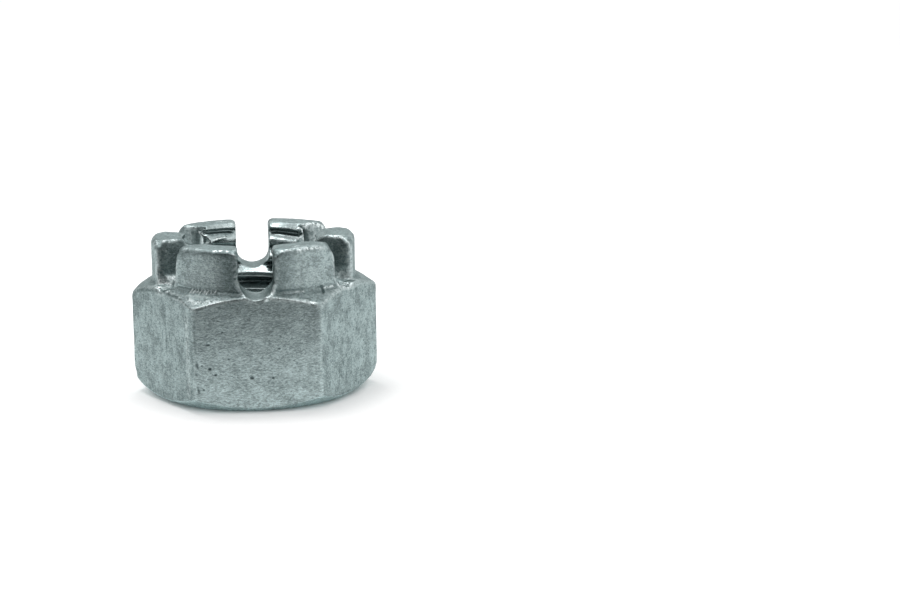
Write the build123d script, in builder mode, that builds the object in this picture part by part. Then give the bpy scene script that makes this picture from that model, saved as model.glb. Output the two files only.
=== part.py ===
from build123d import *
import os
from math import ceil, cos, pi, radians, tan

# Castle nut for a 24 mm coarse-threaded bolt, forged and tapped in one piece.
# It stands on its bearing face, with the thread along +Z and the crown on top.
# The origin is the centre of the bearing face. Two corners of the hexagon lie
# on the X axis, so two flats face -Y and +Y. All sizes are in millimetres.

# Hexagon body
flat_count = 6
across_flats = 36.0
hexagon_edge_radius = 1.0
bearing_setback = 1.3
bearing_chamfer_angle = 30.0

# Conical shoulder, which ends at the root of the crown
shoulder_height = 19.5
shoulder_angle = 30.0

# Crown, standing in from the flats
crown_height = 7.1
crown_setback = 0.85
crown_chamfer = 0.6

# Slots for the split pin, one in the middle of each flat. Their floors lie a
# little below the root of the crown, so each slot runs out over the shoulder.
slot_width = 5.7
slot_run_out = 0.9
slot_lip_radius = 0.8

# Right-hand metric thread, and a countersink at each end of it
thread_diameter = 24.0
thread_pitch = 3.0
thread_flank_angle = 30.0
thread_start_height = 0.4
countersink_margin = 0.4
countersink_angle = 30.0

# How far a cutting form reaches past the surface that it opens
cut_overlap = 0.3

# Heights and radii that follow from the sizes above
flat_radius = across_flats / 2
corner_radius = flat_radius / cos(pi / flat_count)
bearing_radius = flat_radius - bearing_setback
crown_radius = flat_radius - crown_setback
nut_height = shoulder_height + crown_height
bearing_chamfer_height = (corner_radius - bearing_radius) * tan(radians(bearing_chamfer_angle))
corner_height = shoulder_height - (corner_radius - crown_radius) * tan(radians(shoulder_angle))

slot_radius = slot_width / 2
slot_floor_height = shoulder_height - slot_run_out

thread_radius = thread_diameter / 2
flank_slope = tan(radians(thread_flank_angle))
groove_root_width = thread_pitch / 8
crest_width = thread_pitch / 4
thread_depth = (thread_pitch - groove_root_width - crest_width) / 2 / flank_slope
bore_radius = thread_radius - thread_depth
countersink_radius = thread_radius + countersink_margin
countersink_depth = (countersink_radius - bore_radius) * tan(radians(countersink_angle))


# One turn of the thread groove. Its flanks widen inwards, past the wall of the
# bore, and its ends meet the turns above and below it.
groove_mouth_width = groove_root_width + 2 * (thread_depth + cut_overlap) * flank_slope

with BuildPart() as thread_turn:
    with BuildLine() as one_turn:
        Helix(pitch=thread_pitch, height=thread_pitch, radius=thread_radius)
    with BuildSketch(Plane.XZ):
        with BuildLine():
            Polyline(
                (bore_radius - cut_overlap, -groove_mouth_width / 2),
                (thread_radius, -groove_root_width / 2),
                (thread_radius, groove_root_width / 2),
                (bore_radius - cut_overlap, groove_mouth_width / 2),
                close=True,
            )
        make_face()
    sweep(path=one_turn.line, is_frenet=True)


# One slot, from the thread axis out past its flat. Its floor is a full radius,
# and its walls end in rounded lips on the tops of the teeth.
with BuildPart() as slot_form:
    with BuildSketch(Plane.XZ):
        with BuildLine():
            floor = RadiusArc(
                (0, slot_floor_height),
                (slot_radius, slot_floor_height + slot_radius),
                -slot_radius,
            )
            wall = Line(floor @ 1, (slot_radius, nut_height - slot_lip_radius))
            lip = RadiusArc(
                wall @ 1,
                (slot_radius + slot_lip_radius, nut_height),
                slot_lip_radius,
            )
            Polyline(
                lip @ 1,
                (slot_radius + slot_lip_radius, nut_height + cut_overlap),
                (0, nut_height + cut_overlap),
            )
            mirror(about=Plane.YZ)
        make_face()
    extrude(amount=flat_radius + cut_overlap)


with BuildPart() as castle_nut:
    # Hexagon bar with soft upright edges
    with BuildSketch():
        RegularPolygon(radius=flat_radius, side_count=flat_count, major_radius=False)
        fillet(vertices(), radius=hexagon_edge_radius)
    extrude(amount=nut_height)

    # Turned form, from the lower countersink round the outside to the upper one:
    # bearing face, bearing chamfer, shoulder, crown, crown chamfer and bore
    with BuildSketch(Plane.XZ):
        with BuildLine():
            Polyline(
                (bore_radius, countersink_depth),
                (countersink_radius, 0),
                (bearing_radius, 0),
                (corner_radius, bearing_chamfer_height),
                (corner_radius, corner_height),
                (crown_radius, shoulder_height),
                (crown_radius, nut_height - crown_chamfer),
                (crown_radius - crown_chamfer, nut_height),
                (countersink_radius, nut_height),
                (bore_radius, nut_height - countersink_depth),
                close=True,
            )
        make_face()
    revolve(axis=Axis.Z, mode=Mode.INTERSECT)

    # Slots, one through each flat
    with PolarLocations(0, flat_count):
        add(slot_form.part, mode=Mode.SUBTRACT)

    # Thread, cut turn by turn from below the bearing face to above the crown
    turn_count = ceil(nut_height / thread_pitch) + 2
    turn_starts = [thread_start_height + (turn - 1) * thread_pitch for turn in range(turn_count)]
    with Locations(*[(0, 0, height) for height in turn_starts]):
        add(thread_turn.part, mode=Mode.SUBTRACT)

castle_nut.part.label = "castle_nut"

os.makedirs("parts", exist_ok=True)
export_step(castle_nut.part, "parts/castle_nut.step")
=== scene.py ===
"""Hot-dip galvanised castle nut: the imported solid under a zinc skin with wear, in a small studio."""

from math import cos, radians, sin
from types import SimpleNamespace

import bpy
import numpy as np
import openvdb
from bpy.props import FloatProperty, FloatVectorProperty, IntProperty, PointerProperty
from mathutils import Matrix, Vector


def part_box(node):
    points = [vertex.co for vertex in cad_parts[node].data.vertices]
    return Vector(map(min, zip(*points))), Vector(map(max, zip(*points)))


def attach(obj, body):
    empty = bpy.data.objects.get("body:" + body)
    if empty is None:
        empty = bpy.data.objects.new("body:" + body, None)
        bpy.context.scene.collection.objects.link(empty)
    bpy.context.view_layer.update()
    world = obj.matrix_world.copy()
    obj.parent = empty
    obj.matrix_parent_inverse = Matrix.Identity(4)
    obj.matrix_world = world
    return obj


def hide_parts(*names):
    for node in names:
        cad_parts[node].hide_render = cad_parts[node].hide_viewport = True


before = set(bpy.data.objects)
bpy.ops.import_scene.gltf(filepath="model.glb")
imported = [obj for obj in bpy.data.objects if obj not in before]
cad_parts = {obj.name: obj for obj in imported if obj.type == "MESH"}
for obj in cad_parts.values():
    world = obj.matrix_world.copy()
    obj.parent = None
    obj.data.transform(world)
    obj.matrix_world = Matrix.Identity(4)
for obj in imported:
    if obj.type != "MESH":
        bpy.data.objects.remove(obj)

bl_info = {
    "name": "Galvanised castle nut",
    "version": (1, 0, 0),
    "blender": (4, 5, 0),
    "location": "View3D > Sidebar > Castle Nut",
    "description": "Dresses a castle nut in worn hot-dip zinc and sets it on a pale studio floor",
    "category": "Object",
}

# The frame gives the nut's own sizes. The sculpting works in millimetres.
NODE = "castle_nut"
MM = 0.001
LOW, HIGH = (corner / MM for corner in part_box(NODE))
NUT_TOP = HIGH.z
FLAT_RADIUS = HIGH.y

# Sizes of the crown and the thread that the dressing follows, as the solid has them
CROWN_SETBACK = 0.85
CROWN_HEIGHT = 7.1
CROWN_RADIUS = FLAT_RADIUS - CROWN_SETBACK
CROWN_ROOT = NUT_TOP - CROWN_HEIGHT
CROWN_CHAMFER = 0.6
SLOT_HALF_WIDTH = 2.85
SLOT_RUN_OUT = 0.9
SLOT_FLOOR = CROWN_ROOT - SLOT_RUN_OUT
THREAD_RADIUS = 12.0
COUNTERSINK_MARGIN = 0.4
COUNTERSINK_RADIUS = THREAD_RADIUS + COUNTERSINK_MARGIN

# How far below the top a slot's lip may reach
LIP_REACH = 1.2

# Half the angle from one tooth of the crown to the next, in degrees
HALF_PITCH = 30

# The six teeth of the crown by the direction of their middles, seen from above.
# On each side of a tooth, of which left is clockwise, its outer corner is rounded
# away by foot low down and by head at the top. Width and height give the rounding
# where that corner meets the top, and lip is the radius of the slot's lip. The
# outer face starts to round over towards the top at height edge, with edge_radius.
TEETH = {
    "front_left": dict(
        azimuth=-120,
        left=dict(foot=0.1, head=1.3, width=1.6, height=1.6, lip=0.8),
        right=dict(foot=0.1, head=0.15, width=2.0, height=1.2, lip=0.45),
        edge=26.05,
        edge_radius=0.5,
    ),
    "front_right": dict(
        azimuth=-60,
        left=dict(foot=0.3, head=0.4, width=2.8, height=1.6, lip=0.45),
        right=dict(foot=0.15, head=0.6, width=3.0, height=2.8, lip=0.8),
        edge=26.05,
        edge_radius=0.5,
    ),
    "right": dict(
        azimuth=0,
        left=dict(foot=0.3, head=0.7, width=2.2, height=1.6, lip=0.55),
        right=dict(foot=0.2, head=0.4, width=2.4, height=1.4, lip=0.8),
        edge=25.3,
        edge_radius=1.3,
    ),
    "rear_right": dict(
        azimuth=60,
        left=dict(foot=0.3, head=0.6, width=1.8, height=1.3, lip=0.8),
        right=dict(foot=0.2, head=0.3, width=1.8, height=1.0, lip=0.8),
        edge=26.15,
        edge_radius=0.5,
    ),
    "rear_left": dict(
        azimuth=120,
        left=dict(foot=0.1, head=0.3, width=2.0, height=1.2, lip=0.8),
        right=dict(foot=0.3, head=0.7, width=2.4, height=1.6, lip=0.6),
        edge=26.05,
        edge_radius=0.6,
    ),
    "left": dict(
        azimuth=180,
        left=dict(foot=0.2, head=0.4, width=2.4, height=1.4, lip=0.8),
        right=dict(foot=0.2, head=0.7, width=2.2, height=1.6, lip=0.3),
        edge=25.6,
        edge_radius=1.0,
    ),
}

# How steeply the rounding of a tooth's edge runs out inwards, on its sides and its top
SIDE_RUN_OUT = 1.8
TOP_RUN_OUT = 0.6

# How softly a cut meets the metal round it, and what keeps a division from being by 0
CUT_BLEND = 0.15
TINY = 1e-6

# Painted shade on the slots' walls, darker below 0, and painted light above 0: the slot's
# direction seen from above, how far over the root of the crown it starts, and the tone
SLOT_TONES = [(-150, 1.2, -0.6), (-90, 0.7, -0.6), (-30, 1.9, -0.6), (30, 0.7, 0.3), (90, 0.7, -0.6)]

# Lines and spots on the metal. A point is a direction seen from above in degrees,
# a distance from the thread axis and a height. Rise lifts the metal, or sinks it
# below 0. Tone above 0 makes it bright: in part bare zinc, in part painted highlight
# on edges, arcs and slot floors. Tone below 0 darkens it: painted shade in creases,
# grooves, notches and on faces that mirror dark, and dark pits and nicks.
MARKS = {
    "burr_rear_left": dict(
        points=[(137.5, 13.2, 26.2), (136.7, 12.3, 25.4), (136, 11.7, 24.8), (136, 11.7, 23.8)],
        width=0.4, rise=0.35, tone=1,
    ),
    "torn_turn_rear_left": dict(
        points=[
            (135.5, 11.3, 23.6), (134.5, 10.7, 23.7), (129, 10.4, 24.2),
            (123, 10.4, 24.4), (116, 10.6, 24.5),
        ],
        width=0.4, rise=0.25, tone=0.8,
    ),
    "flank_rear_left": dict(
        points=[(132, 11.5, 24.9), (119, 11.5, 24.8), (110.5, 11.5, 24.7)], width=0.9, rise=0.4, tone=-1.3
    ),
    "burr_rear_right": dict(
        points=[(43.6, 12.4, 26.0), (43.4, 12.0, 25.6), (43.4, 11.6, 24.9)], width=0.36, rise=0.06, tone=1
    ),
    "flank_rear_right": dict(
        points=[(48, 11.5, 24.2), (60, 11.5, 24.3), (69.5, 11.5, 24.4)], width=0.9, rise=0.4
    ),
    "arch_rear_right": dict(
        points=[(44.0, 12.3, 26.3), (44.4, 13.6, 26.5), (42.2, 15.0, 26.4), (40.2, 16.0, 25.5)],
        width=0.5, tone=1,
    ),
    "slot_foot_left": dict(
        points=[(-99.6, 17.15, 21.4), (-99, 17.15, 20.2), (-97.2, 17.3, 19.4), (-95.9, 17.9, 19.0)],
        width=0.4, rise=0.24, tone=0.9,
    ),
    "slot_foot_right": dict(
        points=[(-80.4, 17.15, 20.6), (-81, 17.2, 19.6), (-83.1, 17.9, 19.1), (-85.2, 18.0, 18.8)],
        width=0.5, rise=0.24, tone=1,
    ),
    "root_line_left": dict(
        points=[(-111, 17.3, 19.45), (-105, 17.25, 19.45), (-98.5, 17.3, 19.4)],
        width=0.32, rise=0.2, tone=1,
    ),
    "root_line_middle": dict(
        points=[(-74.5, 17.35, 19.4), (-64, 17.35, 19.4)], width=0.3, rise=0.16, tone=0.8
    ),
    "root_line_right": dict(
        points=[(-50.4, 17.3, 19.4), (-43.5, 17.35, 19.4)], width=0.32, rise=0.2, tone=1
    ),
    "root_groove_left": dict(
        points=[(-138, 17.15, 20.1), (-122, 17.15, 19.85), (-99.6, 17.15, 19.65)],
        width=0.3, rise=-0.1, tone=-0.7,
    ),
    "root_groove_right": dict(
        points=[(-79, 17.15, 19.8), (-66, 17.15, 19.85), (-50, 17.15, 19.65)],
        width=0.28, rise=-0.08, tone=-0.6,
    ),
    "ridge_left": dict(
        points=[(-128, 17.9, 19.05), (-116, 17.85, 19.05), (-104, 17.75, 19.15)], width=0.6, rise=0.1
    ),
    "notch": dict(
        points=[(-51.6, 17.15, 19.75), (-51.5, 17.5, 19.3), (-52.8, 18.0, 18.95)],
        width=0.27, rise=-0.6, tone=-2.2,
    ),
    "crease_front_left": dict(
        points=[
            (-138, 17.1, 24.3), (-135.8, 17.1, 25.3), (-130, 17.0, 26.0),
            (-115.6, 17.1, 26.0), (-105, 17.1, 25.75),
        ],
        width=0.24, rise=-0.06, tone=-0.9,
    ),
    "crown_edge_front_left": dict(points=[(-113, 16.7, 26.45), (-105, 16.7, 26.45)], width=0.42, tone=1.2),
    "crown_corner_front_left": dict(
        points=[(-102, 17.05, 26.0), (-100.5, 17.1, 25.7)], width=0.5, tone=1.2
    ),
    "crown_edge_front_right": dict(points=[(-79, 16.85, 26.25), (-71, 16.8, 26.3)], width=0.6, tone=0.9),
    "crown_rim_front_right": dict(
        points=[(-66, 16.9, 26.2), (-57, 16.9, 26.25), (-51, 16.9, 26.2)], width=0.4, tone=0.9
    ),
    "crown_top_front_right": dict(points=[(-67, 15.6, 26.6), (-63, 15.4, 26.6)], width=0.6, tone=0.8),
    "crown_top_rear_left": dict(points=[(115, 14.6, 26.6), (109, 14.2, 26.6)], width=0.8, tone=0.6),
    "arch_left": dict(
        points=[(-160.4, 17.0, 25.6), (-161, 16.5, 26.4), (-163.2, 15.1, 26.55), (-163, 13.5, 26.45)],
        width=0.36, tone=1.2,
    ),
    "arch_right": dict(
        points=[(-17.6, 14.1, 26.4), (-18.2, 15.1, 26.45), (-19.7, 16.3, 26.0), (-20.2, 16.8, 25.2)],
        width=0.7, tone=1,
    ),
    "wall_edge_right": dict(
        points=[(-20.3, 17.0, 24.6), (-20.3, 17.1, 21.5), (-21, 17.1, 20.2)], width=0.5, tone=0.5
    ),
    "pool_left": dict(
        points=[
            (-158.9, 17.0, 20.4), (-155.8, 17.5, 19.2), (-152, 17.7, 18.7),
            (-145.4, 18.0, 18.7), (-143.7, 17.7, 19.2),
        ],
        width=0.4, rise=0.16, tone=0.9,
    ),
    "floor_left": dict(
        points=[(-157.6, 17.2, 19.6), (-159.0, 15.8, 19.9), (-160.2, 14.4, 20.0)],
        width=1.0, rise=0.5, tone=1.4,
    ),
    "floor_left_foot": dict(
        points=[(-157.0, 16.9, 19.3), (-157.7, 15.8, 19.35)], width=1.2, rise=0.45, tone=0.8
    ),
    "floor_left_end": dict(
        points=[(-158.9, 16.9, 19.9), (-157.4, 17.4, 19.2)], width=0.9, rise=0.55, tone=1.2
    ),
    # Painted shade on the front teeth's outer faces, on each side of the front slot
    "painted_shade_front_left": dict(points=[(-102, 17.15, 25), (-101.5, 17.15, 20.5)], width=4.4, tone=-0.72),
    "painted_shade_front_right": dict(points=[(-76, 17.15, 24.8), (-78.5, 17.15, 20.8)], width=4.0, tone=-0.55),
    "pool_right": dict(
        points=[(-37, 17.5, 19.2), (-31, 17.3, 18.8), (-25, 17.1, 19.0)], width=1.1, rise=0.05, tone=1.5
    ),
    "floor_right": dict(points=[(-22.8, 16.9, 19.7), (-24.8, 16.4, 19.0)], width=0.6, tone=0.9),
    "wedge_left": dict(
        points=[(-126, 18.7, 18.6), (-121, 19.4, 18.15), (-114, 18.9, 18.45), (-107, 18.5, 18.7)],
        width=0.7, tone=0.6,
    ),
    "corner_right": dict(points=[(-65.5, 19.2, 18.2), (-61.5, 20.0, 17.8)], width=0.5, tone=0.8),
    "arc_front_left": dict(
        points=[(-117.5, 20.25, 17.7), (-112, 19.35, 18.25), (-105, 18.6, 18.7), (-97, 18.15, 18.9)],
        width=0.34, tone=0.55,
    ),
    "arc_front_right": dict(
        points=[(-83, 18.1, 18.95), (-75, 18.6, 18.7), (-68, 19.35, 18.25), (-63, 20.1, 17.8)],
        width=0.34, tone=0.55,
    ),
    "corner_left": dict(points=[(174, 20.7, 17.8), (-174, 20.7, 17.8)], width=1.4, rise=-0.22),
    "foot_left": dict(points=[(174, 20.6, 2.8), (-174, 20.6, 2.8)], width=1.8, rise=-0.28),
    "arc_left_flat": dict(
        points=[
            (-174, 19.7, 17.7), (-170, 19.1, 18.15), (-155, 18.1, 18.75),
            (-143, 18.1, 18.75), (-134, 18.5, 18.6),
        ],
        width=0.42, rise=-0.08, tone=-1,
    ),
    "arc_left_corner": dict(
        points=[(-134, 18.5, 18.6), (-128, 19.1, 18.3), (-121, 20.4, 17.5)], width=0.34, tone=-0.8
    ),
    "pale_band_left": dict(
        points=[(-125, 19.9, 16), (-124.6, 19.9, 9), (-125, 19.9, 3)], width=1.1, tone=0.3
    ),
    # Painted shade along a shallow crease down the left flat
    "shaded_crease_left_flat": dict(
        points=[(-146, 18.05, 15), (-145.6, 18.05, 12), (-145.9, 18.05, 9)],
        width=0.4, rise=-0.06, tone=-0.4,
    ),
    "edge_front_left": dict(
        points=[(-119.7, 20.7, 17), (-119.3, 20.7, 14.6), (-119.8, 20.7, 12.4), (-119.2, 20.7, 10.2)],
        width=0.34, rise=-0.05, tone=-0.9,
    ),
    "edge_front_left_low": dict(
        points=[(-119, 20.6, 8.7), (-118.5, 20.5, 7.9)], width=0.42, rise=-0.1, tone=-1
    ),
    "edge_front_left_nick": dict(
        points=[(-119.2, 20.65, 7.4), (-118.9, 20.6, 6.7)], width=0.36, rise=-0.1, tone=-0.8
    ),
    "edge_front_left_foot": dict(
        points=[(-118.6, 20.5, 4.4), (-118.3, 20.5, 3.7)], width=0.4, rise=-0.1, tone=-1
    ),
    "foot_right": dict(points=[(-6, 20.7, 2.3), (6, 20.7, 2.3)], width=1.5, rise=-0.3),
}

# The comb of small nicks over the root of the front left tooth. Each ridge leans
# from an outer to an inner end, given by distance from the thread axis and height.
# Its tone paints a highlight on the ridges.
COMB = dict(
    first=-127.0,
    last=-112.5,
    count=8,
    lean=1.3,
    outer=(17.45, 19.35),
    inner=(17.15, 19.9),
    width=0.3,
    rise=0.24,
    tone=0.8,
)

# Pits in the front flat: the place across it, the height and the size of each
PITS = [
    (-8.0, 11.6, 0.34),
    (-9.1, 11.8, 0.24),
    (-4.7, 9.1, 0.26),
    (-1.1, 5.9, 0.36),
    (-7.8, 7.6, 0.3),
    (-6.9, 6.6, 0.28),
    (-9.1, 8.1, 0.26),
    (-8.9, 4.1, 0.28),
    (2.3, 5.7, 0.26),
    (-0.4, 8.6, 0.24),
    (6.2, 8.1, 0.26),
    (-5.7, 13.6, 0.27),
    (3.4, 10.6, 0.26),
    (-2.6, 11.6, 0.24),
]


# Grid of signed distances


def smooth_max(a, b, blend):
    """The larger of a and b, rounded over where they are closer than blend."""
    overlap = np.maximum(blend - np.abs(a - b), 0)
    return np.maximum(a, b) + overlap * overlap / (4 * blend)


def rounded(a, b, radius):
    """The part inside both a and b, with the edge between them rounded."""
    a = a + radius
    b = b + radius
    return np.hypot(np.maximum(a, 0), np.maximum(b, 0)) + np.minimum(np.maximum(a, b), 0) - radius


def gaussian_blur(field, sigma):
    """The field blurred along its three axes, with sigma in cells."""
    reach = int(np.ceil(3 * sigma))
    offsets = np.arange(-reach, reach + 1)
    weights = np.exp(-0.5 * (offsets / sigma) ** 2)
    weights /= weights.sum()
    for axis in range(3):
        padding = [(0, 0)] * 3
        padding[axis] = (reach, reach)
        padded = np.pad(field, padding, mode="edge")
        blurred = np.zeros_like(field)
        for offset, weight in zip(offsets, weights):
            window = [slice(None)] * 3
            window[axis] = slice(reach + offset, reach + offset + field.shape[axis])
            blurred += np.float32(weight) * padded[tuple(window)]
        field = blurred
    return field


class Metal:
    """The nut as a grid of distances to its surface in millimetres, negative inside."""

    # Room round the nut in millimetres, and how far from the surface the distances reach, in cells
    margin = 0.9
    band = 12.0

    def __init__(self, node, cell):
        mesh = node.data
        mesh.calc_loop_triangles()
        points = np.empty(3 * len(mesh.vertices), np.float32)
        mesh.vertices.foreach_get("co", points)
        corners = np.empty(3 * len(mesh.loop_triangles), np.int32)
        mesh.loop_triangles.foreach_get("vertices", corners)
        level_set = openvdb.FloatGrid.createLevelSetFromPolygons(
            points.reshape(-1, 3) / np.float32(MM),
            triangles=corners.reshape(-1, 3).astype(np.uint32),
            transform=openvdb.createLinearTransform(voxelSize=cell),
            halfWidth=self.band,
        )
        self.cell = cell
        self.first = [int(np.floor((c - self.margin) / cell)) for c in LOW]
        last = [int(np.ceil((c + self.margin) / cell)) for c in HIGH]
        self.field = np.empty([b - a + 1 for a, b in zip(self.first, last)], np.float32)
        level_set.copyToArray(self.field, ijk=self.first)
        axes = [(np.arange(n) + a) * cell for n, a in zip(self.field.shape, self.first)]
        self.tone = np.zeros_like(self.field)
        self.x, self.y, self.z = np.ix_(*[axis.astype(np.float32) for axis in axes])

    def window(self, low, high):
        """The part of the grid between two corners, as slices."""
        slices = []
        for a, b, first, size in zip(low, high, self.first, self.field.shape):
            start = int(np.clip(np.floor(a / self.cell) - first, 0, size))
            stop = int(np.clip(np.ceil(b / self.cell) - first + 1, start, size))
            slices.append(slice(start, stop))
        return tuple(slices)

    def coordinates(self, window):
        """The x, the y and the z of a part of the grid."""
        i, j, k = window
        return self.x[i], self.y[:, j], self.z[:, :, k]

    def sample(self, field, points):
        """A field between its cells, at points in millimetres."""
        place = points / self.cell - np.array(self.first)
        base = np.clip(np.floor(place).astype(int), 0, np.array(field.shape) - 2)
        part = place - base
        total = np.zeros(len(points))
        for corner in np.ndindex(2, 2, 2):
            weight = np.prod(np.where(corner, part, 1 - part), axis=1)
            i, j, k = (base + corner).T
            total += weight * field[i, j, k]
        return total

    def surface(self):
        """The corners and the four-sided faces of the surface."""
        bound = 3 * self.cell
        grid = openvdb.FloatGrid(bound)
        grid.transform = openvdb.createLinearTransform(voxelSize=self.cell)
        grid.copyFromArray(np.clip(self.field, -bound, bound), ijk=self.first)
        points, _, quads = grid.convertToPolygons(isovalue=0, adaptivity=0)
        return points, quads


# Wear, zinc, and painted light and shade, cut and laid on in the grid


def tooth_window(metal, azimuth, bottom):
    """The part of the grid round one tooth, from a height up."""
    x = CROWN_RADIUS * cos(radians(azimuth))
    y = CROWN_RADIUS * sin(radians(azimuth))
    reach = CROWN_RADIUS * radians(HALF_PITCH)
    top = NUT_TOP + metal.margin
    return metal.window((x - reach, y - reach, bottom), (x + reach, y + reach, top))


def fill_lip(metal, azimuth, side, radius):
    """Brings the slot's lip on one side of a tooth, 1 or -1, back to a smaller radius."""
    window = tooth_window(metal, azimuth, NUT_TOP - LIP_REACH)
    x, y, z = metal.coordinates(window)
    slot = radians(azimuth + HALF_PITCH * side)
    wall = SLOT_HALF_WIDTH - side * (x * sin(slot) - y * cos(slot))
    lid = z - NUT_TOP
    outer = np.hypot(x, y) - CROWN_RADIUS
    inner = COUNTERSINK_RADIUS - CROWN_RADIUS - outer
    chamfer = (outer + lid + CROWN_CHAMFER) / np.sqrt(2)
    other_half = side * (x * sin(radians(azimuth)) - y * cos(radians(azimuth)))
    filled = np.maximum(np.maximum(rounded(wall, lid, radius), outer), np.maximum(inner, chamfer))
    filled = np.maximum(filled, other_half)
    metal.field[window] = np.minimum(metal.field[window], filled.astype(np.float32))


def round_tooth(metal, azimuth, left, right, edge, edge_radius):
    """Rounds the outer face of one tooth over towards its top and its two slots."""
    fill_lip(metal, azimuth, -1, left["lip"])
    fill_lip(metal, azimuth, 1, right["lip"])
    window = tooth_window(metal, azimuth, CROWN_ROOT)
    x, y, z = metal.coordinates(window)
    turned = np.angle(np.exp(1j * (np.arctan2(y, x) - radians(azimuth)))).astype(np.float32)
    along = CROWN_RADIUS * turned
    up_crown = np.clip((z - CROWN_ROOT) / (NUT_TOP - CROWN_ROOT), 0, 1)
    is_left = along < 0

    def by_side(size):
        """A size of the side of the tooth that each place is on."""
        return np.where(is_left, np.float32(left[size]), np.float32(right[size]))

    # How far each place is past the tooth's rounded side, and past the edge below its top
    rounding = by_side("foot") + (by_side("head") - by_side("foot")) * up_crown
    below_wall = np.clip(SLOT_FLOOR + SLOT_HALF_WIDTH - z, 0, SLOT_HALF_WIDTH)
    slot = np.arcsin(np.sqrt(SLOT_HALF_WIDTH**2 - below_wall**2) / CROWN_RADIUS)
    beyond_side = np.abs(along) - (CROWN_RADIUS * (radians(HALF_PITCH) - slot) - rounding)
    beyond_edge = z - edge

    # Both in one measure, where u grows towards the side and v towards the top
    width = by_side("width")
    height = by_side("height")
    u = np.maximum(beyond_side + width, 0) / width
    v = np.maximum(beyond_edge + height, 0) / height
    both = u * u + v * v + TINY
    beyond = (np.hypot(u, v) - 1) * ((u * u * width + v * v * height) / both)
    run_out = (SIDE_RUN_OUT * u * u + TOP_RUN_OUT * v * v) / both
    outward = np.hypot(x, y) - CROWN_RADIUS
    cutter = rounded(outward, beyond - edge_radius, edge_radius)
    cutter = cutter + run_out * np.minimum(outward + edge_radius, 0)
    metal.field[window] = smooth_max(metal.field[window], cutter.astype(np.float32), CUT_BLEND)


def draw_mark(metal, points, width, rise=0.0, tone=0.0):
    """Lifts and lightens the surface along a line of points, or sinks and darkens it."""
    path = [Vector((r * cos(radians(a)), r * sin(radians(a)), h)) for a, r, h in points]
    low = [min(point[axis] for point in path) - width for axis in range(3)]
    high = [max(point[axis] for point in path) + width for axis in range(3)]
    window = metal.window(low, high)
    x, y, z = metal.coordinates(window)
    nearest = np.inf
    for start, end in zip(path, path[1:]):
        along = end - start
        share = (x - start.x) * along.x + (y - start.y) * along.y + (z - start.z) * along.z
        share = np.clip(share / along.length_squared, 0, 1)
        off_x = x - start.x - share * along.x
        off_y = y - start.y - share * along.y
        off_z = z - start.z - share * along.z
        nearest = np.minimum(nearest, off_x**2 + off_y**2 + off_z**2)
    fade = np.clip(1 - nearest / width**2, 0, 1) ** 2
    metal.field[window] -= (rise * fade).astype(np.float32)
    metal.tone[window] += (tone * fade).astype(np.float32)


def draw_comb(metal, first, last, count, lean, outer, inner, **mark):
    """A row of short leaning ridges with nicks between them."""
    for azimuth in np.linspace(first, last, count):
        points = [(azimuth - lean / 2, *outer), (azimuth + lean / 2, *inner)]
        draw_mark(metal, points, **mark)


def draw_pit(metal, across, height, size):
    """A small dark dent in the front flat, wider than it is high."""
    ends = (across - 0.4 * size, across + 0.4 * size)
    points = [(np.degrees(np.arctan2(-FLAT_RADIUS, x)), np.hypot(x, FLAT_RADIUS), height) for x in ends]
    draw_mark(metal, points, width=0.85 * size, rise=-0.5 * size, tone=-1.4)


def tone_slot(metal, azimuth, foot, tone):
    """Paints shade onto the walls of one slot inside the crown, or light above 0, from foot to just below the
    top.
    """
    direction = radians(azimuth)
    across = metal.x * sin(direction) - metal.y * cos(direction)
    ahead = metal.x * cos(direction) + metal.y * sin(direction)
    wall_start = THREAD_RADIUS - 1.5
    near_wall = (np.abs(across) < SLOT_HALF_WIDTH + 2 * metal.cell) & (ahead > wall_start)
    in_crown = (np.hypot(metal.x, metal.y) < CROWN_RADIUS - metal.cell) & (metal.z > CROWN_ROOT + foot)
    below_top = metal.z < NUT_TOP - 0.5
    metal.tone += np.where(near_wall & in_crown & below_top, np.float32(tone), 0)


def outside_thread(metal):
    """0 within the thread's outer radius, rising to 1 a little past it."""
    rise_width = 0.6
    return np.clip((np.hypot(metal.x, metal.y) - THREAD_RADIUS) / rise_width, 0, 1)


def fill_corners(metal, settings):
    """Zinc runs into the inner corners outside the thread."""
    filled = np.minimum(metal.field, gaussian_blur(metal.field, settings.pool_radius / metal.cell))
    metal.field += (filled - metal.field) * outside_thread(metal)


def soften(metal, settings):
    """Zinc rounds every edge a little. The thread was tapped after it, so it stays crisper."""
    outside = gaussian_blur(metal.field, settings.edge_softness / metal.cell)
    thread = gaussian_blur(metal.field, settings.thread_softness / metal.cell)
    share = outside_thread(metal)
    metal.field = outside * share + thread * (1 - share)


# Mesh


def mesh_from(name, points, quads):
    """A mesh object with its place in its mesh, facing outwards."""
    a, b, c, d = (points[quads[:, n]].astype(float) for n in range(4))
    volume = np.einsum("ij,ij->", a, np.cross(b, c)) + np.einsum("ij,ij->", a, np.cross(c, d))
    if volume < 0:
        quads = quads[:, ::-1]
    mesh = bpy.data.meshes.new(name)
    mesh.vertices.add(len(points))
    mesh.vertices.foreach_set("co", (points * np.float32(MM)).ravel())
    mesh.loops.add(quads.size)
    mesh.loops.foreach_set("vertex_index", quads.astype(np.int32).ravel())
    mesh.polygons.add(len(quads))
    mesh.polygons.foreach_set("loop_start", np.arange(0, quads.size, quads.shape[1], dtype=np.int32))
    mesh.update(calc_edges=True)
    piece = bpy.data.objects.new(name, mesh)
    bpy.context.scene.collection.objects.link(piece)
    return piece


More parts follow.
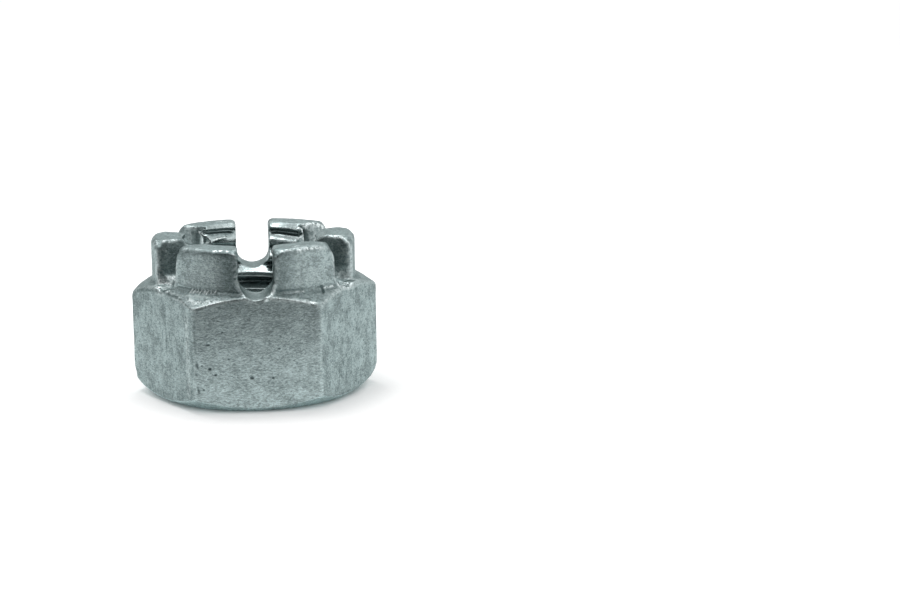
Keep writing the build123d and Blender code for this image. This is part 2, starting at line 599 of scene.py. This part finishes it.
def mark_turn(piece, points, metal, settings):
    """Notes at each corner of the mesh the marks' tone and how sharply the metal turns, above 0 outwards."""
    bend = gaussian_blur(metal.field, settings.turn_reach / metal.cell) - metal.field
    turn = metal.sample(bend, points) / settings.sharpest_turn
    for name, values in (("turn", turn), ("tone", metal.sample(metal.tone, points))):
        attribute = piece.data.attributes.new(name, "FLOAT", "POINT")
        attribute.data.foreach_set("value", np.clip(values, -1, 1).astype(np.float32))


def bake_modifiers(piece):
    """Turns what the modifiers make into the piece's own plain mesh."""
    bpy.context.view_layer.update()
    evaluated = piece.evaluated_get(bpy.context.evaluated_depsgraph_get())
    mesh = bpy.data.meshes.new_from_object(evaluated)
    piece.modifiers.clear()
    piece.data = mesh
    mesh.name = piece.name


# Node helpers


def add_node(tree, kind, inputs=(), **settings):
    """A node with its settings, and with its inputs linked or set by their names or places."""
    node = tree.nodes.new(kind)
    for name, value in settings.items():
        setattr(node, name, value)
    for socket, value in dict(inputs).items():
        if isinstance(value, bpy.types.NodeSocket):
            tree.links.new(value, node.inputs[socket])
        else:
            node.inputs[socket].default_value = value
    return node


def calculate(tree, operation, *values):
    """A math node's result."""
    return add_node(tree, "ShaderNodeMath", enumerate(values), operation=operation).outputs[0]


def times(tree, a, b):
    """The product of two numbers."""
    return calculate(tree, "MULTIPLY", a, b)


def weighted(tree, *parts):
    """The sum of pairs of a value and its weight."""
    total = 0.0
    for value, weight in parts:
        total = calculate(tree, "MULTIPLY_ADD", value, weight, total)
    return total


def between(tree, value, low, high, start=0.0, end=1.0):
    """The value's place between low and high, clamped, on a scale from start to end."""
    return add_node(tree, "ShaderNodeMapRange", {0: value, 1: low, 2: high, 3: start, 4: end}).outputs[0]


def mix(tree, factor, a, b):
    """Number a turning into number b."""
    return add_node(tree, "ShaderNodeMix", {0: factor, 2: a, 3: b}).outputs[0]


def mix_colour(tree, factor, a, b):
    """Colour a turning into colour b."""
    node = add_node(tree, "ShaderNodeMix", {0: factor}, data_type="RGBA")
    for socket, colour in ((node.inputs[6], a), (node.inputs[7], b)):
        if isinstance(colour, bpy.types.NodeSocket):
            tree.links.new(colour, socket)
        else:
            socket.default_value = (*colour, 1)
    return node.outputs[2]


def add_socket(tree, name, kind, in_out, default=None):
    """A named input or output of a node group, with its default."""
    socket = tree.interface.new_socket(name, in_out=in_out, socket_type="NodeSocket" + kind)
    if default is not None:
        socket.default_value = default


def distance_from_axis(tree, place):
    """How far a place is from the thread axis."""
    flat = add_node(tree, "ShaderNodeVectorMath", {0: place, 1: (1.0, 1.0, 0.0)}, operation="MULTIPLY")
    return add_node(tree, "ShaderNodeVectorMath", {0: flat.outputs[0]}, operation="LENGTH").outputs["Value"]


# Zinc skin


def zinc_skin_tree(settings):
    """Geometry nodes that lay uneven zinc on a surface: a slow peel, a finer grain and lumpy edges."""
    tree = bpy.data.node_groups.new("Zinc Skin", "GeometryNodeTree")
    add_socket(tree, "Geometry", "Geometry", "INPUT")
    for layer in ("Peel", "Grain", "Edge"):
        for size in ("Height", "Size"):
            default = getattr(settings, f"{layer}_{size}".lower())
            add_socket(tree, f"{layer} {size}", "Float", "INPUT", default)
    add_socket(tree, "Thread Radius", "Float", "INPUT", THREAD_RADIUS * MM)
    add_socket(tree, "Seed", "Float", "INPUT", float(settings.seed))
    add_socket(tree, "Material", "Material", "INPUT")
    add_socket(tree, "Geometry", "Geometry", "OUTPUT")
    given = add_node(tree, "NodeGroupInput").outputs
    place = add_node(tree, "GeometryNodeInputPosition").outputs[0]
    normal = add_node(tree, "GeometryNodeInputNormal").outputs[0]
    turn = add_node(tree, "GeometryNodeInputNamedAttribute", {"Name": "turn"}, data_type="FLOAT").outputs[0]

    def layer_of(name, seed_shift, detail):
        """One layer of noise, half of it above the surface and half below."""
        scale = calculate(tree, "DIVIDE", 1.0, given[name + " Size"])
        seed = calculate(tree, "ADD", given["Seed"], seed_shift)
        inputs = {"Vector": place, "W": seed, "Scale": scale, "Detail": detail}
        noise = add_node(tree, "ShaderNodeTexNoise", inputs, noise_dimensions="4D").outputs[0]
        centred = calculate(tree, "SUBTRACT", noise, 0.5)
        return times(tree, centred, given[name + " Height"])

    past_thread = calculate(tree, "SUBTRACT", distance_from_axis(tree, place), given["Thread Radius"])
    skin = between(tree, past_thread, 0.0, 0.5 * MM, 0.25, 1.0)
    peel = layer_of("Peel", 0.0, 2.0)
    grain = layer_of("Grain", 7.0, 1.0)
    lumps = layer_of("Edge", 13.0, 2.0)
    on_edge = times(tree, lumps, between(tree, turn, 0.1, 0.7))
    height = calculate(tree, "ADD", calculate(tree, "ADD", peel, grain), on_edge)
    height = times(tree, height, skin)
    offset = add_node(tree, "ShaderNodeVectorMath", {0: normal, 3: height}, operation="SCALE").outputs[0]
    laid = add_node(tree, "GeometryNodeSetPosition", {"Geometry": given["Geometry"], "Offset": offset})
    smooth = add_node(tree, "GeometryNodeSetShadeSmooth", {0: laid.outputs[0]})
    real = add_node(tree, "GeometryNodeRealizeInstances", {0: smooth.outputs[0]})
    inputs = {"Geometry": real.outputs[0], "Material": given["Material"]}
    painted = add_node(tree, "GeometryNodeSetMaterial", inputs)
    add_node(tree, "NodeGroupOutput", {0: painted.outputs[0]})
    return tree


def add_skin(piece, tree, material):
    """Puts the geometry nodes on a piece, with its material as their input."""
    modifier = piece.modifiers.new("Zinc Skin", "NODES")
    modifier.node_group = tree
    for item in tree.interface.items_tree:
        if item.in_out == "INPUT" and item.name == "Material":
            modifier[item.identifier] = material


# Zinc material


def empty_material(name):
    """A new material, and its tree with no nodes in it."""
    material = bpy.data.materials.new(name)
    material.use_nodes = True
    material.node_tree.nodes.clear()
    return material, material.node_tree


def add_noise(tree, place, scale, detail, rough, stretch=None, shift=(0.0, 0.0, 0.0)):
    """A noise pattern from 0 to 1. Its place may be stretched and shifted first."""
    if stretch is not None:
        inputs = {"Vector": place, "Location": shift, "Scale": stretch}
        place = add_node(tree, "ShaderNodeMapping", inputs).outputs[0]
    inputs = {"Vector": place, "Scale": scale, "Detail": detail, "Roughness": rough}
    return add_node(tree, "ShaderNodeTexNoise", inputs).outputs[0]


def zinc_places(tree):
    """What the material knows of each place: where it is, how it faces, its bend and its marks.

    All but place, height and mark go from 0 to 1.
    """
    place = add_node(tree, "ShaderNodeTexCoord").outputs["Object"]
    normal = add_node(tree, "ShaderNodeTexCoord").outputs["Normal"]
    facing = add_node(tree, "ShaderNodeSeparateXYZ", {0: normal}).outputs
    turn = add_node(tree, "ShaderNodeAttribute", attribute_name="turn").outputs["Fac"]
    from_axis = distance_from_axis(tree, place)
    return SimpleNamespace(
        place=place,
        height=add_node(tree, "ShaderNodeSeparateXYZ", {0: place}).outputs[2],
        sideways=between(tree, calculate(tree, "ABSOLUTE", facing[0]), 0.35, 0.7),
        upright=between(tree, calculate(tree, "ABSOLUTE", facing[2]), 0.3, 0.1),
        looking_up=between(tree, facing[2], 0.1, 0.4),
        looking_down=between(tree, facing[2], -0.1, -0.5),
        on_outside=between(tree, from_axis, (FLAT_RADIUS - 1.5) * MM, (FLAT_RADIUS - 1.2) * MM),
        in_thread=between(tree, from_axis, (THREAD_RADIUS + 0.3) * MM, (THREAD_RADIUS - 0.1) * MM),
        convex=between(tree, turn, 0.15, 0.75),
        concave=between(tree, turn, -0.15, -0.8),
        mark=add_node(tree, "ShaderNodeAttribute", attribute_name="tone").outputs["Fac"],
    )


def zinc_patterns(tree, place):
    """The zinc's patterns, from slow clouds to fine grain, and the slope of its peel, which paints light and
    shade on the peel's waves as if lit from above.
    """
    crystal_place = add_node(tree, "ShaderNodeMapping", {"Vector": place, "Scale": (1.0, 1.0, 0.75)})
    inputs = {"Vector": crystal_place.outputs[0], "Scale": 2800.0}
    crystals = add_node(tree, "ShaderNodeTexVoronoi", inputs).outputs["Color"]
    peel_stretch = (0.8, 0.8, 1.1)
    peel_here = add_noise(tree, place, 2900.0, 3.0, 0.6, peel_stretch)
    # Painted light and shade: the peel set against itself a little higher up
    peel_above = add_noise(tree, place, 2900.0, 3.0, 0.6, peel_stretch, (0.0, 0.0, 0.12 * MM))
    return SimpleNamespace(
        cloud=add_noise(tree, place, 380.0, 4.0, 0.65),
        patches=add_noise(tree, place, 430.0, 4.0, 0.6, (1.0, 1.0, 0.8)),
        mottle=add_noise(tree, place, 1800.0, 3.0, 0.65),
        grain=add_noise(tree, place, 4600.0, 3.0, 0.65, (0.9, 0.9, 1.1)),
        runs=add_noise(tree, place, 1300.0, 5.0, 0.75, (1.0, 1.0, 0.6)),
        crystals=add_node(tree, "ShaderNodeSeparateColor", {0: crystals}).outputs[0],
        peel=calculate(tree, "SUBTRACT", peel_here, peel_above),
    )


def zinc_tone(tree, at, pattern):
    """How pale the zinc is: evenly grained on most faces, and in patches down the side flats. The peel's
    slope in it is painted light and shade on the peel's waves.
    """
    even = weighted(
        tree,
        (pattern.cloud, 0.3),
        (pattern.mottle, 0.15),
        (pattern.grain, 0.15),
        (pattern.crystals, 0.1),
        (pattern.peel, 0.55),
    )
    patchy = weighted(
        tree,
        (pattern.patches, 0.62),
        (pattern.runs, 0.08),
        (pattern.mottle, 0.2),
        (pattern.crystals, 0.1),
        (pattern.peel, 0.6),
    )
    on_side_flat = times(tree, at.sideways, at.upright)
    return mix(tree, on_side_flat, between(tree, even, 0.25, 0.47), between(tree, patchy, 0.4, 0.62))


def zinc_specks(tree, at):
    """Dark specks, wide on the front flat and tall on the side flats."""
    stretch = add_node(tree, "ShaderNodeMix", {0: at.sideways}, data_type="VECTOR")
    stretch.inputs[4].default_value = (0.6, 0.6, 1.2)
    stretch.inputs[5].default_value = (1.0, 1.0, 0.5)
    specks = add_noise(tree, at.place, 2300.0, 1.5, 0.55, stretch.outputs[1])
    specks = between(tree, specks, 0.39, 0.32, 0.0, 0.7)
    return times(tree, specks, between(tree, at.sideways, 0.0, 1.0, 0.35, 1.0))


def painted_light_factor(tree, at):
    """What the colour is multiplied by: painted light. It pales down the flats towards the foot, on the crown
    and on the chamfer under the foot.
    """
    crown = between(tree, at.height, CROWN_ROOT * MM, (CROWN_ROOT + 0.5) * MM, 0.0, 0.2)
    # Painted light: the front flat pales towards the bottom, where it mirrors the floor
    front = calculate(tree, "ADD", between(tree, at.height, (CROWN_ROOT - 2) * MM, 0.0, 1.0, 2.1), crown)
    side = between(tree, at.height, CROWN_ROOT * MM, 0.0, 1.15, 1.45)
    top = calculate(tree, "ADD", crown, 0.97)
    lift = mix(tree, at.upright, top, mix(tree, at.sideways, front, side))
    # Painted light on the chamfer under the foot, which looks down into the nut's shadow
    at_foot = times(tree, at.looking_down, at.on_outside)
    return mix(tree, at_foot, lift, 2.5)


def zinc_wear(tree, at):
    """How much each edge on the crown or facing up is made bright, partly as wear and partly as painted
    highlight, and how much it has stayed dull.
    """
    on_crown = between(tree, at.height, (CROWN_ROOT - 3) * MM, (CROWN_ROOT - 1) * MM)
    # Painted highlight on edges on the crown or facing up, where the light catches them
    crown_and_upward_edge = times(tree, at.convex, calculate(tree, "MAXIMUM", on_crown, at.looking_up))
    at_top = between(tree, at.height, (NUT_TOP - 2.0) * MM, (NUT_TOP - 1.2) * MM)
    rubbed_patches = between(tree, add_noise(tree, at.place, 420.0, 3.0, 0.6), 0.48, 0.58)
    bare = mix(tree, at_top, 1.0, rubbed_patches)
    edge_wear_and_highlight = times(tree, crown_and_upward_edge, bare)
    dull = times(tree, at.convex, calculate(tree, "SUBTRACT", 1.0, bare))
    return edge_wear_and_highlight, dull


def paint_zinc(tree, at, pattern, colours, edge_wear_and_highlight, dull):
    """The colour: dark to pale zinc under painted light, and over it the wear with painted highlight,
    the thread, painted shade in the corners and the marks.
    """
    colour = mix_colour(tree, zinc_tone(tree, at, pattern), colours.dark_zinc, colours.pale_zinc)
    colour = mix_colour(tree, zinc_specks(tree, at), colour, colours.pit_and_shade)
    inputs = {0: colour, 3: painted_light_factor(tree, at)}
    colour = add_node(tree, "ShaderNodeVectorMath", inputs, operation="SCALE").outputs[0]

    # Edges made bright, partly wear and partly painted highlight
    wear_and_highlight = times(tree, edge_wear_and_highlight, between(tree, pattern.mottle, 0.35, 0.6))
    # Painted shade in sharp hollow corners, strongest in the thread's roots
    painted_corner_shade = times(tree, at.concave, between(tree, at.in_thread, 0.0, 1.0, 0.5, 0.95))
    # Tone below 0 paints shade, mottled, and darkens the pits and nicks
    shade_and_grime = weighted(tree, (pattern.mottle, 0.5), (pattern.grain, 0.5))
    shade_and_grime = between(tree, shade_and_grime, 0.58, 0.42, 0.45, 0.9)
    # Tone above 0 paints highlight and bare zinc, in specks
    highlight_and_bare_flecks = weighted(tree, (pattern.mottle, 0.4), (pattern.grain, 0.4), (pattern.crystals, 0.2))
    highlight_and_bare_flecks = between(tree, highlight_and_bare_flecks, 0.42, 0.58)
    layers = (
        (times(tree, dull, 0.6), colours.dark_zinc),
        (times(tree, wear_and_highlight, 0.8), colours.bright_zinc_and_highlight),
        (painted_corner_shade, colours.pit_and_shade),
        (times(tree, at.in_thread, 0.3), colours.bright_zinc_and_highlight),
        (times(tree, between(tree, at.mark, -0.1, -0.8), shade_and_grime), colours.pit_and_shade),
        (times(tree, between(tree, at.mark, 0.1, 0.7), highlight_and_bare_flecks), colours.bare_zinc_and_highlight),
    )
    for share, paint in layers:
        colour = mix_colour(tree, share, colour, paint)
    return colour


def galvanised_zinc(colours):
    """Dull hot-dip zinc: tinted metal with a fine grain, dark pits, paler edges of wear and painted
    highlight, a brighter thread, and painted light and shade.
    """
    material, tree = empty_material("galvanised_zinc")
    at = zinc_places(tree)
    pattern = zinc_patterns(tree, at.place)
    edge_wear_and_highlight, dull = zinc_wear(tree, at)

    rough = between(tree, pattern.mottle, 0.3, 0.7, 0.43, 0.31)
    rough = mix(tree, edge_wear_and_highlight, rough, 0.28)
    rough = mix(tree, at.in_thread, rough, 0.26)

    tool_marks = add_noise(tree, at.place, 900.0, 3.0, 0.7, (0.15, 0.15, 4.0))
    skin_relief = weighted(tree, (pattern.mottle, 0.35), (pattern.grain, 0.5), (pattern.runs, 0.15))
    relief = mix(tree, at.in_thread, skin_relief, tool_marks)
    depth = between(tree, at.in_thread, 0.0, 1.0, 0.21 * MM, 0.06 * MM)
    bump = add_node(tree, "ShaderNodeBump", {"Height": relief, "Strength": 1.0, "Distance": depth})
    inputs = {
        "Base Color": paint_zinc(tree, at, pattern, colours, edge_wear_and_highlight, dull),
        "Metallic": 1.0,
        "Specular Tint": (*colours.edge_tint, 1),
        "Roughness": rough,
        "Normal": bump.outputs[0],
    }
    shader = add_node(tree, "ShaderNodeBsdfPrincipled", inputs)
    add_node(tree, "ShaderNodeOutputMaterial", {"Surface": shader.outputs[0]})
    return material


# Settings


def size_in_mm(name, description, default, **limits):
    """A size of the sculpting that the user can change, in millimetres."""
    return FloatProperty(name=name, description=description + ", in mm", default=default, **limits)


def length(name, description, millimetres):
    """A length of the zinc skin that the user can change."""
    return FloatProperty(name=name, description=description, default=millimetres * MM, unit="LENGTH")


def zinc_colour(name, description, default):
    """A colour that the user can change."""
    return FloatVectorProperty(
        name=name, description=description, default=default, subtype="COLOR", min=0, max=1
    )


class CastleNutSettings(bpy.types.PropertyGroup):
    """How finely the nut is sculpted, and how the zinc lies on it"""

    cell: size_in_mm("Cell", "Finest step of the sculpted metal", 0.16, min=0.1)
    edge_softness: size_in_mm("Edge Softness", "How far zinc rounds the edges", 0.15)
    thread_softness: size_in_mm("Thread Softness", "Rounding of the thread", 0.1)
    pool_radius: size_in_mm("Pool Radius", "Zinc in the inner corners", 0.45)
    turn_reach: size_in_mm("Turn Reach", "Reach of the edge wear", 0.4)
    sharpest_turn: size_in_mm("Sharpest Turn", "Turn that counts as an edge", 0.12)
    peel_height: length("Peel Height", "Depth of the slow waves", 0.1)
    peel_size: length("Peel Size", "Width of the slow waves", 2.6)
    grain_height: length("Grain Height", "Depth of the grain", 0.045)
    grain_size: length("Grain Size", "Width of the grain", 0.5)
    edge_height: length("Edge Height", "Height of the lumps along the edges", 0.16)
    edge_size: length("Edge Size", "Width of the lumps along the edges", 1.3)
    seed: IntProperty(name="Seed", description="Changes where the grain falls", default=3)
    triangle_limit: IntProperty(
        name="Triangle Limit", description="Most triangles of the nut", default=194000, min=1
    )


class ZincColours(bpy.types.PropertyGroup):
    """Colours of the zinc"""

    pale_zinc: zinc_colour("Pale Zinc", "Fresh zinc", (0.326, 0.396, 0.397))
    dark_zinc: zinc_colour("Dark Zinc", "Weathered zinc", (0.147, 0.182, 0.183))
    # This colour is the thread and the wear on edges, and the painted highlight on them
    bright_zinc_and_highlight: zinc_colour("Bright Zinc", "Rubbed edges and the thread", (0.5, 0.57, 0.57))
    # This colour paints highlight as well as bare zinc
    bare_zinc_and_highlight: zinc_colour("Bare Zinc", "Flecks laid bare", (0.8, 0.87, 0.87))
    # This colour is also the painted shade in deep corners, creases and grooves
    pit_and_shade: zinc_colour("Pit", "Pits and deep corners", (0.066, 0.098, 0.099))
    edge_tint: zinc_colour("Edge Tint", "Zinc seen at a low angle", (0.62, 0.68, 0.68))


class StudioSettings(bpy.types.PropertyGroup):
    """Light and floor of the studio"""

    key_power: FloatProperty(
        name="Key Light", description="Power of the soft light overhead", default=0.8, unit="POWER"
    )
    floor_colour: zinc_colour("Floor", "Colour of the floor", (0.86, 0.86, 0.86))
    floor_glow: FloatProperty(
        name="Floor Glow", description="How much whiter the floor is seen", default=0.3
    )


# Operators


class OBJECT_OT_castle_nut(bpy.types.Operator):
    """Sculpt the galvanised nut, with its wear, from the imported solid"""

    bl_idname = "object.castle_nut_dress"
    bl_label = "Dress the Castle Nut"

    def execute(self, context):
        settings = context.scene.castle_nut
        metal = Metal(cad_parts[NODE], settings.cell)
        for tooth in TEETH.values():
            round_tooth(metal, **tooth)
        fill_corners(metal, settings)
        soften(metal, settings)
        for azimuth, foot, tone in SLOT_TONES:
            tone_slot(metal, azimuth, foot, tone)
        for mark in MARKS.values():
            draw_mark(metal, **mark)
        draw_comb(metal, **COMB)
        for across, height, size in PITS:
            draw_pit(metal, across, height, size)
        points, quads = metal.surface()
        piece = mesh_from("galvanised_nut", points, quads)
        mark_turn(piece, points, metal, settings)
        add_skin(piece, zinc_skin_tree(settings), galvanised_zinc(context.scene.zinc_colours))
        bake_modifiers(piece)
        triangles = 2 * len(piece.data.polygons)
        thin = piece.modifiers.new("Thin", "DECIMATE")
        thin.ratio = min(1, settings.triangle_limit / triangles)
        bake_modifiers(piece)
        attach(piece, "root")
        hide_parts(NODE)
        return {"FINISHED"}


def plain_material(name, colour):
    """A material of one dull colour, and its tree and shader."""
    material, tree = empty_material(name)
    shader = add_node(tree, "ShaderNodeBsdfDiffuse", {"Color": (*colour, 1)})
    return material, tree, shader


def add_sheet(name, corners, material):
    """A flat stage piece."""
    mesh = bpy.data.meshes.new(name)
    mesh.from_pydata(corners, [], [range(len(corners))])
    mesh.materials.append(material)
    sheet = bpy.data.objects.new(name, mesh)
    bpy.context.scene.collection.objects.link(sheet)
    return sheet


def seen_rays(tree):
    """1 for the rays that see a background: from the camera, off metal or through glass."""
    rays = add_node(tree, "ShaderNodeLightPath").outputs
    seen = calculate(tree, "MAXIMUM", rays["Is Camera Ray"], rays["Is Glossy Ray"])
    return calculate(tree, "MAXIMUM", seen, rays["Is Transmission Ray"])


def add_floor(settings):
    """A pale floor that is seen a little brighter than it is lit, so that it ends in white.

    At the nut's foot the camera sees none of that glow, so that the nut stands in its shadow.
    The metal mirrors a little of it there, which keeps the chamfer round the foot pale.
    """
    material, tree, shader = plain_material("pale_floor", settings.floor_colour)
    place = add_node(tree, "ShaderNodeTexCoord").outputs["Object"]
    from_axis = distance_from_axis(tree, place)
    clear_of_nut = between(tree, from_axis, 0.97 * FLAT_RADIUS * MM, 1.07 * FLAT_RADIUS * MM)
    far_off = between(tree, from_axis, 1.2 * FLAT_RADIUS * MM, 4 * FLAT_RADIUS * MM, 0.75, 1.4)
    from_camera = add_node(tree, "ShaderNodeLightPath").outputs["Is Camera Ray"]
    hidden_from_metal = 0.6
    hidden = calculate(tree, "MAXIMUM", from_camera, hidden_from_metal)
    near = mix(tree, hidden, 1.0, clear_of_nut)
    glow = times(tree, near, times(tree, far_off, settings.floor_glow))
    strength = times(tree, seen_rays(tree), glow)
    emission = add_node(tree, "ShaderNodeEmission", {"Color": (1, 1, 1, 1), "Strength": strength})
    both = add_node(tree, "ShaderNodeAddShader", {0: shader.outputs[0], 1: emission.outputs[0]})
    add_node(tree, "ShaderNodeOutputMaterial", {"Surface": both.outputs[0]})
    reach = 3.0
    corners = [(-reach, -reach, 0), (reach, -reach, 0), (reach, reach, 0), (-reach, reach, 0)]
    add_sheet("floor", corners, material)


def add_cloth():
    """A dark cloth in front of the nut, which the camera looks past and the metal mirrors."""
    material, tree, shader = plain_material("dark_cloth", (0.02, 0.022, 0.024))
    add_node(tree, "ShaderNodeOutputMaterial", {"Surface": shader.outputs[0]})
    azimuth = radians(-103)
    away = 0.075
    half_width = 0.052
    height = 0.12
    middle = away * Vector((cos(azimuth), sin(azimuth), 0))
    aside = half_width * Vector((-sin(azimuth), cos(azimuth), 0))
    up = Vector((0, 0, height))
    corners = [middle - aside, middle + aside, middle + aside + up, middle - aside + up]
    cloth = add_sheet("dark_cloth", corners, material)
    cloth.visible_camera = False
    cloth.visible_shadow = False
    cloth.visible_diffuse = False


def add_world():
    """White for the camera and for reflections, brighter to the right, and a soft even light for the rest."""
    world = bpy.data.worlds.new("studio")
    bpy.context.scene.world = world
    world.use_nodes = True
    tree = world.node_tree
    tree.nodes.clear()
    direction = add_node(tree, "ShaderNodeTexCoord").outputs["Generated"]
    aside = add_node(tree, "ShaderNodeSeparateXYZ", {0: direction}).outputs[0]
    seen = between(tree, aside, -0.7, 0.8, 0.8, 1.3)
    strength = mix(tree, seen_rays(tree), 0.7, seen)
    background = add_node(tree, "ShaderNodeBackground", {"Color": (1, 1, 1, 1), "Strength": strength})
    add_node(tree, "ShaderNodeOutputWorld", {"Surface": background.outputs[0]})


def add_light(name, power, size, place, target):
    """A rectangular soft light that faces its target."""
    data = bpy.data.lights.new(name, "AREA")
    data.shape = "RECTANGLE"
    data.size, data.size_y = size
    data.energy = power
    lamp = bpy.data.objects.new(name, data)
    lamp.location = place
    lamp.rotation_euler = (Vector(target) - Vector(place)).to_track_quat("-Z", "Y").to_euler()
    bpy.context.scene.collection.objects.link(lamp)


def add_camera():
    """The photo's view. It stands off to the right of the nut, which fills the left of the picture."""
    azimuth = radians(-6.74)
    elevation = radians(11.503)
    roll = radians(-0.459)
    forward = Vector((-sin(azimuth) * cos(elevation), cos(azimuth) * cos(elevation), -sin(elevation)))
    right = Vector((cos(azimuth), sin(azimuth), 0))
    up = right.cross(forward)
    across = right * cos(roll) + up * sin(roll)
    upward = up * cos(roll) - right * sin(roll)

    # Where the camera sees the middle of the bearing face: across, upward and ahead, in mm
    seen = Vector((-33.060, -14.775, 328.99))
    place = -(across * seen.x + upward * seen.y + forward * seen.z) * MM
    focal_pixels = 1915.3
    picture_width = 900
    data = bpy.data.cameras.new("camera")
    data.sensor_width = 36.0
    data.lens = focal_pixels / picture_width * data.sensor_width
    data.clip_start = 0.01
    camera = bpy.data.objects.new("camera", data)
    turn = Matrix((across, upward, -forward)).transposed().to_4x4()
    camera.matrix_world = Matrix.Translation(place) @ turn
    bpy.context.scene.collection.objects.link(camera)
    bpy.context.scene.camera = camera


class SCENE_OT_nut_studio(bpy.types.Operator):
    """Set the pale floor, the soft light and the camera"""

    bl_idname = "scene.castle_nut_studio"
    bl_label = "Set the Studio"

    def execute(self, context):
        settings = context.scene.nut_studio
        add_floor(settings)
        add_cloth()
        add_world()
        add_light("key", settings.key_power, size=(0.22, 0.2), place=(-0.05, 0.08, 0.42), target=(0, 0, 0.02))
        add_camera()
        context.scene.view_settings.view_transform = "Standard"
        return {"FINISHED"}


class VIEW3D_PT_castle_nut(bpy.types.Panel):
    """Lists what builds the nut and its studio"""

    bl_label = "Castle Nut"
    bl_space_type = "VIEW_3D"
    bl_region_type = "UI"
    bl_category = "Castle Nut"

    def draw(self, context):
        layout = self.layout
        for group in (context.scene.castle_nut, context.scene.zinc_colours, context.scene.nut_studio):
            for name in group.__annotations__:
                layout.prop(group, name)
        layout.operator(OBJECT_OT_castle_nut.bl_idname)
        layout.operator(SCENE_OT_nut_studio.bl_idname)


CLASSES = (
    CastleNutSettings,
    ZincColours,
    StudioSettings,
    OBJECT_OT_castle_nut,
    SCENE_OT_nut_studio,
    VIEW3D_PT_castle_nut,
)


def register():
    """Adds the settings, the operators and the panel to Blender."""
    for cls in CLASSES:
        bpy.utils.register_class(cls)
    bpy.types.Scene.castle_nut = PointerProperty(type=CastleNutSettings)
    bpy.types.Scene.zinc_colours = PointerProperty(type=ZincColours)
    bpy.types.Scene.nut_studio = PointerProperty(type=StudioSettings)


def unregister():
    """Takes them out again."""
    del bpy.types.Scene.nut_studio
    del bpy.types.Scene.zinc_colours
    del bpy.types.Scene.castle_nut
    for cls in reversed(CLASSES):
        bpy.utils.unregister_class(cls)


def main():
    """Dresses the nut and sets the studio."""
    register()
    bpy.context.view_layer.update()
    bpy.ops.object.castle_nut_dress()
    bpy.ops.scene.castle_nut_studio()


if __name__ == "__main__":
    main()
